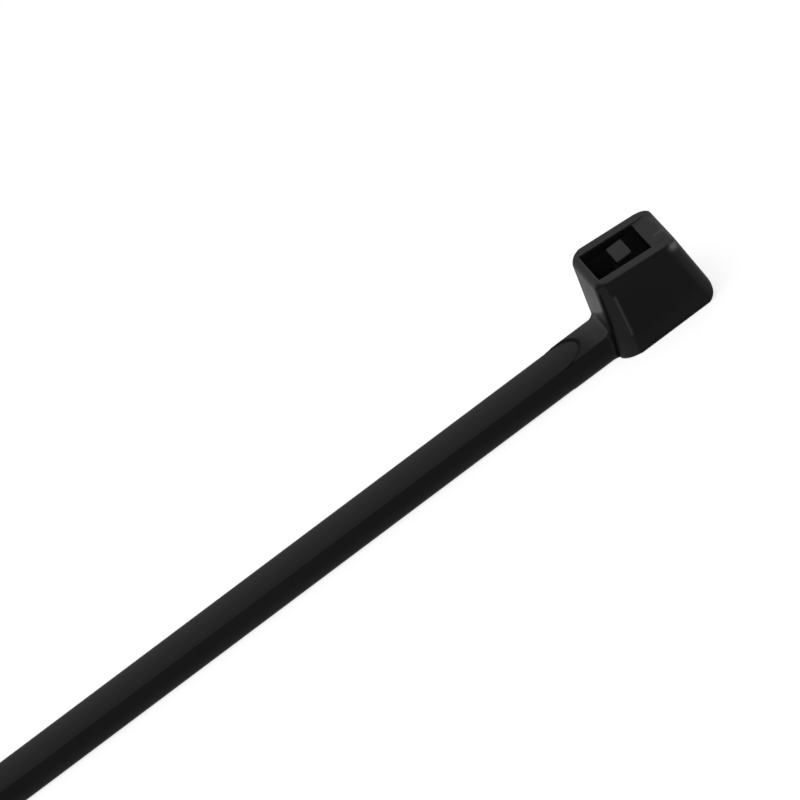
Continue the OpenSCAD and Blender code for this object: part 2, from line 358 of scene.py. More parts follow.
def spot(distance, reach):
    """1 at no distance, fading round it"""
    return np.exp(-((distance / reach) ** 2))


def between(part, first, last):
    """The value at a part of the way from one to another"""
    return first + (last - first) * part


def side_view(points, x, z):
    """Distance from a closed outline drawn in x and z"""
    nearest = np.full(np.broadcast(x, z).shape, np.inf)
    within = np.zeros(nearest.shape, bool)
    for (ax, az), (bx, bz) in zip(points, points[1:] + points[:1]):
        ex, ez = bx - ax, bz - az
        t = np.clip(((x - ax) * ex + (z - az) * ez) / (ex * ex + ez * ez), 0.0, 1.0)
        nearest = np.minimum(nearest, np.hypot(x - ax - t * ex, z - az - t * ez))
        if ez:
            within ^= ((az > z) != (bz > z)) & (x < (z - az) / ez * ex + ax)
    return np.where(within, -nearest, nearest)


def strap_form(size, x, y, z):
    """The strap beside the head, with its thicker pad and the round step"""
    strap = size.strap
    crown = strap.crown * (2.0 * y / strap.width) ** 2
    side = np.abs(y) - strap.width / 2
    bar = edge(side, z - strap.thickness + crown, strap.top_edge)
    pad = edge(side, z - size.pad_z + crown, strap.top_edge)
    slope = strap.step_slope / strap.pad_height
    cone = strap.step_radius + (z - strap.thickness) * slope - np.hypot(x - size.step_x, y)
    pad = edge(pad, cone / math.hypot(1.0, slope), STEP_BLEND)
    pad = np.maximum(pad, size.step_x - x)
    both = edge(fillet(bar, pad, STEP_BLEND), -z, strap.foot_edge)
    inside_head = size.well_x - STRAP_END
    return np.maximum(both, x - inside_head)


def beyond_corner(size, x, y, z):
    """Distances out of the strap-side face and out of the side of the head"""
    lean = size.head.strap_lean
    near = (size.base_near_x - x) * math.cos(lean) + z * math.sin(lean)
    return near, np.abs(y) - size.head.width / 2


def flat_size(size, z):
    """Length and width of the flats at the strap-side corners, which grow towards the foot"""
    head = size.head
    grown = between(np.clip(z / head.height, 0.0, 1.0), head.flat_foot, head.flat_top)
    flare = 1.0 + head.flat_flare * band(z, FLARE_RISE, FLARE_FALL)
    return head.flat_length * grown * flare, head.flat_width * grown


def groove_form(size, near, side, z):
    """Distance into the fine groove that runs down the inner edge of each flat, wider towards the foot"""
    head = size.head
    flat_l, flat_w = flat_size(size, z)
    radius = between(np.clip(z / head.height, 0.0, 1.0), head.groove_foot, head.groove_top)
    radius = radius * (1.0 - 2.0 * ease(z - head.height, GROOVE_FADE))
    along, sunk = GROOVE_SHIFT * radius, head.groove_sunk
    span = np.hypot(flat_l, flat_w)
    upper = ease(z, GROOVE_BEND)
    lower = 1.0 - upper
    mid_near = -(along * flat_l + sunk * flat_w) / span * upper - GROOVE_FOOT_DEPTH * lower
    mid_side = (along * flat_w - sunk * flat_l) / span - flat_w - head.groove_in * lower
    return radius - np.hypot(near - mid_near, side - mid_side)


def head_block(size, x, y, z):
    """The head without its passage: leaning ends, flats, grooves and rounded edges"""
    head = size.head
    near, side = beyond_corner(size, x, y, z)
    far = (x - size.base_far_x) * math.cos(head.free_lean) + z * math.sin(head.free_lean)
    top = (x - size.top_near_x) * math.sin(head.top_fall) + (z - head.height) * math.cos(head.top_fall)
    flat_l, flat_w = flat_size(size, z)
    flat = (near * flat_w + (side + flat_w) * flat_l) / np.hypot(flat_l, flat_w)
    near_flat = edge(near, flat, between(ease(z, INNER_EDGE_RISE), head.flat_near_foot, head.flat_near))
    near_end = edge(near_flat, side, head.flat_edge)
    near_end = edge(near_end, groove_form(size, near, side, z), GROOVE_BLEND)
    walls = np.maximum(near_end, edge(far, side, head.corner_free))
    past_strap = ease(x, (size.top_near_x, size.well_x + TOP_EDGE_REACH))
    top_radius = between(past_strap, head.near_edge, head.top_edge)
    block = edge(edge(walls, top, top_radius), -z, head.foot_edge)
    block = np.maximum(block, edge(far, -z, head.far_foot))
    return np.maximum(block, edge(near_flat, -z, head.near_foot))


def slot_form(size, x, y, z):
    """The passage, its flared entry, the exit ramp and the well behind the pawl"""
    head = size.head
    across = np.abs(y) - size.slot_half
    passage = edge(np.maximum(size.near_x - x, x - size.far_x), across, head.slot_corner)
    well = edge(np.maximum(size.well_x - x, x - size.near_x - WELL_OVERLAP), across, head.slot_corner)
    well = edge(well, head.well_floor - z, head.slot_corner)
    opened = head.lead_in * (1.0 - z / head.lead_in_depth)
    level = head.lead_in_depth / math.hypot(head.lead_in, head.lead_in_depth)
    flare = np.maximum(np.maximum(size.near_x - x, x - size.far_x) - opened, across - opened) * level
    start, end = size.far_x, size.far_x + head.ramp_length
    low = size.top(start) - head.ramp_depth
    rise = (size.top(end) - low) / head.ramp_length
    ramp = (low + (x - start) * rise - z) / math.hypot(1.0, rise)
    ramp = np.maximum(np.maximum(ramp, across), size.near_x - x)
    return np.minimum(np.minimum(fillet(passage, well, WELL_BLEND), flare), ramp)


def pawl_outline(size):
    """The pawl from the side: a leaning arm on the floor of the well, with teeth that match the rack's"""
    head, rack = size.head, size.rack
    per_z = head.pawl_reach / (size.pawl_z - head.well_floor)
    first = size.pawl_z - head.pawl_teeth * rack.pitch
    root_z = head.well_floor - PAWL_ROOT
    points = [(size.near_x - head.hinge, root_z), (size.near_x, root_z), (size.near_x, head.well_floor)]
    for i in range(head.pawl_teeth):
        root = first + i * rack.pitch
        crest = root + rack.pitch - (rack.lean if i < head.pawl_teeth - 1 else 0.0)
        crest_x = size.near_x + per_z * (crest - head.well_floor)
        points += [(crest_x - rack.height, root), (crest_x, crest)]
    points.append((size.pawl_x - head.pawl_end, size.pawl_z))
    points.append((size.near_x - head.hinge, head.well_floor))
    return points


def moulding(size, x, y, z):
    """The head with its passage and pawl, and the strap as far as the round step"""
    block = edge(head_block(size, x, y, z), -slot_form(size, x, y, z), size.head.rim)
    pawl = edge(side_view(pawl_outline(size), x, z), np.abs(y) - size.pawl_half, PAWL_BLEND)
    block = fillet(block, pawl, PAWL_BLEND)
    strap = size.strap
    beside = strap.neck_fillet * between(ease(z, NECK_RISE), NECK_FOOT_SHARE, 1.0)
    at_side = ease(np.abs(y) - strap.width / 2, NECK_SIDE)
    radius = between(at_side, strap.root_fillet, beside)
    return np.maximum(fillet(block, strap_form(size, x, y, z), radius), -z)


# Painted highlights and a few scuffs at the top of the head, along its free-end edge and corner, in
# millimetres: start, end, half width and strength

HIGHLIGHTS_AND_SCUFFS = (
    ((1.50, 0.95, 3.17), (1.54, -1.95, 3.17), 0.13, 0.22),
    ((1.40, 1.10, 3.18), (1.44, 0.45, 3.18), 0.16, 0.20),
    ((1.07, -0.66, 3.22), (1.13, -0.67, 3.22), 0.08, 0.55),
    ((1.12, -0.67, 3.22), (1.50, -0.74, 3.18), 0.09, 0.34),
    ((1.40, -0.55, 3.18), (1.50, -0.80, 3.18), 0.13, 0.34),
    ((1.33, -2.22, 2.98), (1.46, -2.12, 2.93), 0.16, 1.00),
)

# How far a face is turned, as parts of its normal: up, along the strap or across it

UPRIGHT = (0.2, 0.5)
STEEP = 0.6
LEVEL = 0.9
TOP_FACING = (0.75, 0.95)
FLAT_RISE = (0.3, 0.6)
FLAT_FALL = (0.93, 0.98)
SIDE_FACING = (0.9, 0.97)
CORNER_ALONG = (0.12, 0.5)
CORNER_ACROSS = (0.3, 0.6)
NEAR_FACING = 0.8

# Where the painted light and painted shade lie, in millimetres: heights over the foot, where nothing else is
# said

LINE_HALF = 0.055
LINE_RISE = (0.84, 0.95)
LINE_FALL = (2.7, 2.85)
FLAT_LOW = 0.05
FLAT_DEPTH = 1.0  # from the side of the head, inwards
FLAT_CHANGE = (0.0, 1.0)
FLAT_FOOT_GAIN = 1.5  # a factor on the rubbed share
TOP_REACH = (-0.6, -0.5)  # from the top edge
ROOT_LOW = 1.05
ROOT_HIGH = 1.6
ROOT_HALF = 1.35
PAD_RISE = (-4.0, -3.2)  # along the strap
SLOT_HIGH = 3.0
SLOT_MARGIN = 0.02
SIDE_FALL = (0.1, 1.2)
STRAP_NEAR = -2.9  # along the strap, where its sides come out of the head
STRAP_SIDE_FALL = (0.2, 0.6)
STRAP_FOOT_FALL = (0.0, 0.25)
STEP_OUT = 0.04  # from the round step's radius, outwards
STEP_HALF = 0.075
STEP_DEPTH = 0.1
GROOVE_BORDER = (-0.08, -0.03)  # from the groove's surface
RAMP_LOW = 3.1
RAMP_HALF = 0.05
RAMP_RISE = (0.0, 0.1)  # these three from the slot's far face
RAMP_FALL = (0.52, 0.7)
RAMP_CHANGE = (0.25, 0.4)
FACE_LOW = 1.0
FACE_HIGH = 1.7
FACE_SLANT = 0.34  # rise of that border across the strap
FACE_FALL = (-0.12, 0.03)  # from that border


def from_line(points, start, end):
    """Distance of points from a straight line between two places"""
    start, end = np.array(start), np.array(end)
    along = end - start
    t = np.clip((points - start) @ along / (along @ along), 0.0, 1.0)
    return np.linalg.norm(points - start - t[:, None] * along, axis=1)


def painted_foot_light(painting, points, normals):
    """The strap's sides are painted lighter towards the toothed side: painted reflection of the table"""
    z = points[:, 2]
    sides = fade(normals[:, 2], UPRIGHT) * (points[:, 0] < STRAP_NEAR)
    low = painting.rubbed_side * fade(z, STRAP_SIDE_FALL) + painting.rubbed_side_foot * fade(z, STRAP_FOOT_FALL)
    return sides * low


def sheen_and_scuff_share(size, painting, points, normals):
    """How far the nylon of the head is painted lighter: painted highlights, sheen, reflections and light,
    with a few scuffs
    """
    x, y, z = points.T
    along, across, up = normals.T
    across = np.abs(across)
    near, side = beyond_corner(size, x, y, z)
    flat_l, _ = flat_size(size, z)
    # Painted highlight: a thin light line down the outer edge of each flat
    line = spot(np.hypot(near + flat_l, side), LINE_HALF) * band(z, LINE_RISE, LINE_FALL)
    # Painted reflection: the flats at the strap-side corners are painted lighter, most of all near the foot
    flat = band(across, FLAT_RISE, FLAT_FALL) * (x < size.well_x) * (z > FLAT_LOW)
    flat *= (side > -FLAT_DEPTH) * (up < STEEP) * between(ease(z, FLAT_CHANGE), FLAT_FOOT_GAIN, 1.0)
    # Painted sheen: the top of the head is painted lighter than the strap
    top = ease(up, TOP_FACING) * ease(z - size.head.height, TOP_REACH)
    # Painted sheen on the rounded free-end corners
    corner = ease(along, CORNER_ALONG) * ease(across, CORNER_ACROSS)
    # The neck beside the head, where painted light lifts the head's shade on the pad and on the root fillet
    neck = ease(up, UPRIGHT) * (np.abs(y) < ROOT_HALF) * (x < size.near_face(ROOT_HIGH)) * (z > ROOT_LOW)
    # Painted light on the pad beside the head, against the head's shade
    pad = neck * ease(x, PAD_RISE) * (up > LEVEL)
    # Painted light on the fillet up the head, against the shade in that hollow
    root = neck * (up <= LEVEL)
    # Painted light inside the passage and the well, which lie in shade
    slot = (x > size.well_x) * (x < size.far_x) * (np.abs(y) < size.slot_half + SLOT_MARGIN) * (z < SLOT_HIGH)
    # Painted light: the sides of the head are painted lighter towards the foot
    low = ease(across, SIDE_FACING) * fade(z, SIDE_FALL) * (x > size.base_near_x)
    marks = [
        painting.rubbed_line * line,
        painting.rubbed_flat * flat,
        painting.rubbed_top * top,
        painting.rubbed_corner * corner,
        painting.rubbed_pad * pad,
        painting.rubbed_root * root,
        painting.rubbed_slot * slot,
        painting.rubbed_low * low,
        painted_foot_light(painting, points, normals),
    ]
    # Painted highlights along the free-end top edge and its corner, partly scuffs
    marks += [strength * spot(from_line(points, start, end), half) for start, end, half, strength in HIGHLIGHTS_AND_SCUFFS]
    return np.maximum.reduce(marks)


def matt_and_shade_share(size, painting, points, normals):
    """How far the nylon of the head is made matt and painted darker, as painted shade"""
    x, y, z = points.T
    near, side = beyond_corner(size, x, y, z)
    out = np.hypot(x - size.step_x, y) - size.strap.step_radius
    # Painted shadow along the round step
    step = spot(out - STEP_OUT, STEP_HALF) * (x > size.step_x) * (z > size.strap.thickness - STEP_DEPTH)
    # Painted shade in the groove beside each flat
    groove = ease(groove_form(size, near, side, z), GROOVE_BORDER) * (normals[:, 2] < STEEP)
    past = x - size.far_x
    # Painted shade over the highlight along the edges of the exit ramp
    ramp = spot(np.abs(y) - size.slot_half, RAMP_HALF) * (z > RAMP_LOW) * band(past, RAMP_RISE, RAMP_FALL)
    ramp *= between(ease(past, RAMP_CHANGE), painting.matt_ramp, painting.matt_ramp_end)
    # Painted shade low on the strap-side face
    face = (normals[:, 0] < -NEAR_FACING) * (z > FACE_LOW) * fade(z - FACE_HIGH + FACE_SLANT * y, FACE_FALL)
    return np.maximum.reduce([painting.matt_step * step, painting.matt_groove * groove, painting.matt_face * face, ramp])


# Meshes: lengths in millimetres, counts of points and of rings

SLOPE_REACH = 0.002
SHADING_REACH = 0.008
LEAST_SLOPE = 0.25  # squared
LONGEST_MOVE = 0.03
GRID_LOW = np.array([3.0, 2.37, 2.41])  # margin in steps, uneven so that no flat face lies on the grid
GRID_HIGH = 3  # steps too
CROWN_POINTS = 5
EDGE_POINTS = 5
FOOT_POINTS = 9
SIDE_HEIGHTS = (0.85, 0.65, 0.5, 0.35)
NECK_RINGS = 8
RACK_RINGS = 40
BARE_RINGS = 12
BARE_START = 1.0  # from the last tooth
TIP_RINGS = 13
RIB_POINTS = 24
RIB_ENDS = ((-0.5, 0.8), (-0.47, 1.0), (0.47, 1.0), (0.5, 0.8))  # place along a rib, share of its radius
CREASE = math.radians(32.0)
WELD = 0.0000005  # in metres, as the next one
CUT_REACH = 0.00000001


def skin(field, low, step):
    """A net of quads round the zero of a sampled distance"""
    cells = np.array(field.shape) - 1
    total = np.zeros((*cells, 3))
    count = np.zeros(cells)
    crossings = []
    # Each grid edge that the surface crosses adds its crossing to the four cells round it
    for axis in range(3):
        u, v = (axis + 1) % 3, (axis + 2) % 3
        start, end = [slice(None)] * 3, [slice(None)] * 3
        start[axis], end[axis] = slice(0, -1), slice(1, None)
        a, b = field[tuple(start)], field[tuple(end)]
        cross = (a < 0) != (b < 0)
        along = np.where(cross, a / np.where(cross, a - b, 1.0), 0.0)
        crossings.append((cross, a < 0))
        for du in (0, 1):
            for dv in (0, 1):
                part = [slice(None)] * 3
                part[u], part[v] = slice(du, du + cells[u]), slice(dv, dv + cells[v])
                here = cross[tuple(part)]
                count += here
                total[..., axis] += np.where(here, along[tuple(part)], 0.0)
                total[..., u] += here * du
                total[..., v] += here * dv
    used = count > 0
    index = np.full(cells, -1)
    index[used] = np.arange(used.sum())
    points = np.argwhere(used) + total[used] / count[used][:, None]
    quads = []
    # The mean points of those four cells are the corners of a quad
    for axis, (cross, solid_first) in enumerate(crossings):
        u, v = (axis + 1) % 3, (axis + 2) % 3
        inner = [slice(None)] * 3
        inner[u], inner[v] = slice(1, -1), slice(1, -1)
        at = np.argwhere(cross[tuple(inner)])
        at[:, u] += 1
        at[:, v] += 1
        corners = []
        for du, dv in ((1, 1), (0, 1), (0, 0), (1, 0)):
            cell = at.copy()
            cell[:, u] -= du
            cell[:, v] -= dv
            corners.append(index[tuple(cell.T)])
        faces = np.stack(corners, 1)
        outward = solid_first[tuple(at.T)]
        quads.append(np.where(outward[:, None], faces, faces[:, ::-1]))
    return low + points * step, np.concatenate(quads)


def slopes(form, points, reach=SLOPE_REACH):
    """Which way and how steeply a form rises at points"""
    out = np.empty_like(points)
    for axis in range(3):
        shift = np.zeros(3)
        shift[axis] = reach
        out[:, axis] = (form(*(points + shift).T) - form(*(points - shift).T)) / (2 * reach)
    return out


def settle(form, points, rounds=3):
    """Moves points on to the surface of a form"""
    for _ in range(rounds):
        slope = slopes(form, points)
        steep = np.maximum((slope**2).sum(1), LEAST_SLOPE)
        move = np.clip(form(*points.T), -LONGEST_MOVE, LONGEST_MOVE) / steep
        points = points - move[:, None] * slope
    return points


def mesh_of(name, points, faces):
    """A mesh from its corners and faces"""
    mesh = bpy.data.meshes.new(name)
    mesh.from_pydata(points, [], faces)
    mesh.update()
    return mesh


def vertex_rows(mesh, what):
    """The vertices' places or normals, one row for each"""
    values = np.empty(len(mesh.vertices) * 3)
    mesh.vertices.foreach_get(what, values)
    return values.reshape(-1, 3)


def paint(mesh, name, values):
    """Writes a value on each vertex, which the material reads"""
    mesh.attributes.new(name, "FLOAT", "POINT").data.foreach_set("value", values)


def shade_smooth(mesh):
    mesh.polygons.foreach_set("use_smooth", np.ones(len(mesh.polygons), bool))


def face_out(mesh):
    """Turns the faces outwards and keeps only the sharp edges sharp"""
    work = bmesh.new()
    work.from_mesh(mesh)
    bmesh.ops.recalc_face_normals(work, faces=work.faces[:])
    work.to_mesh(mesh)
    work.free()
    shade_smooth(mesh)
    mesh.set_sharp_from_angle(angle=CREASE)


def show(mesh, material):
    """Puts a finished mesh on the tie's body in place of the plain solid"""
    piece = bpy.data.objects.new(mesh.name, mesh)
    bpy.context.scene.collection.objects.link(piece)
    mesh.materials.clear()
    mesh.materials.append(material)
    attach(piece, "root")
    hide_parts("cable_tie")


def quads_between(rings, n):
    """Quads from each ring of n points to the next"""
    faces = []
    for a in range(0, (rings - 1) * n, n):
        faces += [(a + j, a + (j + 1) % n, a + n + (j + 1) % n, a + n + j) for j in range(n)]
    return faces


def strap_ring(size, x, depth):
    """One ring of the strap: crowned top, rounded edges, and a recess of a given depth underneath"""
    strap = size.strap
    half, tall, r, foot = strap.width / 2, strap.thickness, strap.top_edge, strap.foot_edge
    right = []
    for y in np.linspace(0.0, half - r, CROWN_POINTS, endpoint=False):
        right.append((y, tall - strap.crown * (y / half) ** 2))
    edge_z = tall - strap.crown
    for a in np.radians(np.linspace(90.0, 0.0, EDGE_POINTS)):
        right.append((half - r + r * math.cos(a), edge_z - r + r * math.sin(a)))
    right += [(half, z) for z in SIDE_HEIGHTS]
    for a in np.radians(np.linspace(0.0, -90.0, FOOT_POINTS)):
        right.append((half - foot + foot * math.cos(a), foot + foot * math.sin(a)))
    right = [p for p in right if p[1] > 0.0 or p[0] > size.rack_half]
    right += [(size.rack_half, 0.0), (size.rack_half, depth), (0.0, depth)]
    left = [(-y, z) for y, z in reversed(right[1:-1])]
    return [(x, y, z) for y, z in right + left]


# Node helpers


def add_node(tree, kind, inputs=None, **settings):
    """Adds a node with its settings, and links or fills its inputs by name or number"""
    node = tree.nodes.new(kind)
    for name, value in settings.items():
        setattr(node, name, value)
    for name, value in (inputs or {}).items():
        socket = node.inputs[name]
        if isinstance(value, bpy.types.NodeSocket):
            tree.links.new(value, socket)
        else:
            socket.default_value = value
    return node


def mix(tree, kind, factor, a, b):
    """A Mix node on floats or colours"""
    first, result = (6, 2) if kind == "RGBA" else (2, 0)
    node = add_node(tree, "ShaderNodeMix", {0: factor, first: a, first + 1: b}, data_type=kind)
    return node.outputs[result]


class Tree:
    """A geometry node tree with named inputs"""

    def __init__(self, name, inputs):
        self.group = bpy.data.node_groups.new(name, "GeometryNodeTree")
        face = self.group.interface
        face.new_socket("Geometry", in_out="INPUT", socket_type="NodeSocketGeometry")
        face.new_socket("Geometry", in_out="OUTPUT", socket_type="NodeSocketGeometry")
        self.keys = {}
        for label, kind, value in inputs:
            socket = face.new_socket(label, in_out="INPUT", socket_type=kind)
            if value is not None:
                socket.default_value = value
            self.keys[label] = socket.identifier
        self.source = self.group.nodes.new("NodeGroupInput")
        self.end = self.group.nodes.new("NodeGroupOutput")

    def add(self, kind, inputs=None, **settings):
        return add_node(self.group, kind, inputs, **settings)

    def take(self, label):
        """The tree's input of that name"""
        return self.source.outputs[label]

    def calc(self, operation, a, b=0.0, c=0.0):
        return self.add("ShaderNodeMath", {0: a, 1: b, 2: c}, operation=operation).outputs[0]

    def vector(self, x=0.0, y=0.0, z=0.0):
        return self.add("ShaderNodeCombineXYZ", {0: x, 1: y, 2: z}).outputs[0]

    def finish(self, geometry):
        """Ends the tree with real geometry in the given material"""
        real = self.add("GeometryNodeRealizeInstances", {"Geometry": geometry}).outputs[0]
        coated = self.add("GeometryNodeSetMaterial", {"Geometry": real, "Material": self.take("Material")})
        self.group.links.new(coated.outputs[0], self.end.inputs[0])


def grow(name, base, tree, values):
    """Runs a node tree on a base mesh and gives the result as a plain mesh"""
    holder = bpy.data.objects.new(name, base)
    bpy.context.scene.collection.objects.link(holder)
    modifier = holder.modifiers.new(tree.group.name, "NODES")
    modifier.node_group = tree.group
    for label, value in values.items():
        modifier[tree.keys[label]] = value
    graph = bpy.context.evaluated_depsgraph_get()
    mesh = bpy.data.meshes.new_from_object(holder.evaluated_get(graph), depsgraph=graph)
    holder.modifiers.remove(modifier)
    bpy.data.objects.remove(holder)
    mesh.name = name
    return mesh


def tail_tree():
    """Narrows and thins a straight strap towards a round tip"""
    tree = Tree("Tail rule", [
        ("Material", "NodeSocketMaterial", None),
        ("Tip", "NodeSocketFloat", 0.0),
        ("Tail Length", "NodeSocketFloat", 0.013),
        ("Tip Width Share", "NodeSocketFloat", 0.6),
        ("Tip Thickness Share", "NodeSocketFloat", 0.64),
        ("Tip Radius", "NodeSocketFloat", 0.00075),
    ])
    position = tree.add("GeometryNodeInputPosition").outputs[0]
    x, y, z = tree.add("ShaderNodeSeparateXYZ", {0: position}).outputs
    from_tip = tree.calc("SUBTRACT", x, tree.take("Tip"))
    past_round = tree.calc("SUBTRACT", from_tip, tree.take("Tip Radius"))
    straight = tree.calc("SUBTRACT", tree.take("Tail Length"), tree.take("Tip Radius"))

    def widen(value, span, share_at_tip):
        t = tree.add("ShaderNodeClamp", {0: tree.calc("DIVIDE", value, span)}).outputs[0]
        gain = tree.calc("SUBTRACT", 1.0, share_at_tip)
        return tree.calc("MULTIPLY_ADD", t, gain, share_at_tip)

    width = widen(past_round, straight, tree.take("Tip Width Share"))
    thick = widen(from_tip, tree.take("Tail Length"), tree.take("Tip Thickness Share"))
    short = tree.calc("DIVIDE", tree.calc("MULTIPLY", past_round, -1.0), tree.take("Tip Radius"))
    lack = tree.add("ShaderNodeClamp", {0: short}).outputs[0]
    square = tree.calc("SUBTRACT", 1.0, tree.calc("MULTIPLY", lack, lack))
    bend = tree.calc("SQRT", tree.calc("MAXIMUM", square, 0.0))
    narrow = tree.calc("MULTIPLY", y, tree.calc("MULTIPLY", width, bend))
    moved = tree.vector(x, narrow, tree.calc("MULTIPLY", z, thick))
    placed = tree.add("GeometryNodeSetPosition", {"Geometry": tree.take("Geometry"), "Position": moved})
    welded = tree.add("GeometryNodeMergeByDistance", {"Geometry": placed.outputs[0], "Distance": WELD})
    tree.finish(welded.outputs[0])
    return tree


def row_tree(name):
    """Repeats the base mesh in a row along the strap, which may rise and get wider from piece to piece"""
    tree = Tree(name, [
        ("Material", "NodeSocketMaterial", None),
        ("Count", "NodeSocketInt", 7),
        ("Pitch", "NodeSocketFloat", 0.001),
        ("Start", "NodeSocketVector", (0.0, 0.0, 0.0)),
        ("Tilt", "NodeSocketFloat", 0.0),
        ("First Width", "NodeSocketFloat", 1.0),
        ("Width Step", "NodeSocketFloat", 0.0),
    ])
    run = tree.calc("MULTIPLY", tree.take("Pitch"), tree.calc("COSINE", tree.take("Tilt")))
    fall = tree.calc("MULTIPLY", tree.take("Pitch"), tree.calc("SINE", tree.take("Tilt")))
    line = tree.add("GeometryNodeMeshLine", {
        "Count": tree.take("Count"),
        "Start Location": tree.take("Start"),
        "Offset": tree.vector(run, 0.0, fall),
    }).outputs[0]
    number = tree.add("GeometryNodeInputIndex").outputs[0]
    width = tree.calc("MULTIPLY_ADD", number, tree.take("Width Step"), tree.take("First Width"))
    placed = tree.add("GeometryNodeInstanceOnPoints", {
        "Points": line, "Instance": tree.take("Geometry"), "Scale": tree.vector(1.0, width, 1.0),
    }).outputs[0]
    tree.finish(placed)
    return tree


# Material

FLOW_RANGE = (0.3, 0.7)  # of the noise, between plain nylon and a flow mark


def black_nylon(finish):
    """Satin black nylon with flow marks and the mould's grain, painted lighter for highlights, sheen, light
    and a few scuffs, and made matt and painted darker for shade
    """
    material = bpy.data.materials.get("black_nylon")
    if material:
        return material
    material = bpy.data.materials.new("black_nylon")
    material.use_nodes = True
    tree = material.node_tree
    shader = next(n for n in tree.nodes if n.type == "BSDF_PRINCIPLED")
    place = add_node(tree, "ShaderNodeTexCoord").outputs["Object"]

    def noise(size, detail, stretch=(1.0, 1.0, 1.0)):
        scale = [s / size for s in stretch]
        spread = add_node(tree, "ShaderNodeMapping", {"Vector": place, "Scale": scale}).outputs[0]
        node = add_node(tree, "ShaderNodeTexNoise", {"Vector": spread, "Scale": 1.0, "Detail": detail})
        return node.outputs["Fac"]

    def attribute(name):
        return add_node(tree, "ShaderNodeAttribute", attribute_name=name).outputs["Fac"]

    def tone(factor):
        return [min(1.0, c * factor) for c in finish.colour] + [1.0]

    grain = noise(finish.grain, detail=3.0)
    flow = noise(finish.flow, detail=4.0, stretch=(finish.flow_stretch, 1.0, 1.0))
    low, high = FLOW_RANGE
    flow = add_node(tree, "ShaderNodeMapRange", {"Value": flow, "From Min": low, "From Max": high}).outputs[0]
    matt = attribute("matt")
    base = mix(tree, "RGBA", flow, tone(1.0), tone(finish.flow_gain))
    # Painted highlights, sheen and light, with a few scuffs: a mix towards the lighter colour
    base = mix(tree, "RGBA", attribute("rubbed"), base, (*finish.rubbed, 1.0))
    # Painted shade: darker nylon where it is matt
    base = mix(tree, "RGBA", matt, base, tone(finish.matt_dark))
    tree.links.new(base, shader.inputs["Base Color"])
    plain = finish.roughness
    rough = mix(tree, "FLOAT", flow, plain - finish.flow_polish, plain + finish.flow_dull)
    rough = mix(tree, "FLOAT", matt, rough, 1.0)
    tree.links.new(rough, shader.inputs["Roughness"])
    shader.inputs["Specular IOR Level"].default_value = finish.specular
    relief = {"Strength": 1.0, "Distance": finish.grain_depth, "Height": grain}
    bump = add_node(tree, "ShaderNodeBump", relief)
    tree.links.new(bump.outputs[0], shader.inputs["Normal"])
    return material


# Operators


class TIE_OT_head(bpy.types.Operator):
    """Makes the head with its passage, pawl and neck as one moulded skin"""

    bl_idname = "tie.make_head"
    bl_label = "Make the head"

    def execute(self, context):
        scene = context.scene
        size = Measures(scene)
        step = size.head.mesh_step * 1.0

        def form(x, y, z):
            return moulding(size, x, y, z)

        low = np.array([size.step_x, -size.head.width / 2, 0.0]) - GRID_LOW * step
        high = np.array([size.base_far_x, size.head.width / 2, size.head.height]) + GRID_HIGH * step
        counts = np.ceil((high - low) / step).astype(int) + 1
        axes = [low[i] + step * np.arange(counts[i]) for i in range(3)]
        field = form(axes[0][:, None, None], axes[1][None, :, None], axes[2][None, None, :])
        points, quads = skin(np.broadcast_to(field, counts), low, step)
        mesh = mesh_of("tie_head", settle(form, points) / MM, quads)
        self.cut(mesh, size.step_x / MM)
        points = vertex_rows(mesh, "co") * MM
        normals = slopes(form, points, SHADING_REACH)
        normals /= np.maximum(np.linalg.norm(normals, axis=1), TINY)[:, None]
        # Painted light and scuffs, and painted shade where the nylon is matt
        paint(mesh, "rubbed", sheen_and_scuff_share(size, scene.tie_wear, points, normals))
        paint(mesh, "matt", matt_and_shade_share(size, scene.tie_wear, points, normals))
        shade_smooth(mesh)
        mesh.normals_split_custom_set_from_vertices(normals.tolist())
        show(mesh, black_nylon(scene.tie_finish))
        return {"FINISHED"}

    @staticmethod
    def cut(mesh, x):
        """Cuts the skin square where the strap's rings go on, and closes it there"""
        work = bmesh.new()
        work.from_mesh(mesh)
        bmesh.ops.bisect_plane(
            work,
            geom=work.verts[:] + work.edges[:] + work.faces[:],
            dist=CUT_REACH,
            plane_co=(x, 0.0, 0.0),
            plane_no=(1.0, 0.0, 0.0),
            clear_inner=True,
        )
        bmesh.ops.contextual_create(work, geom=[e for e in work.edges if e.is_boundary])
        work.to_mesh(mesh)
        work.free()


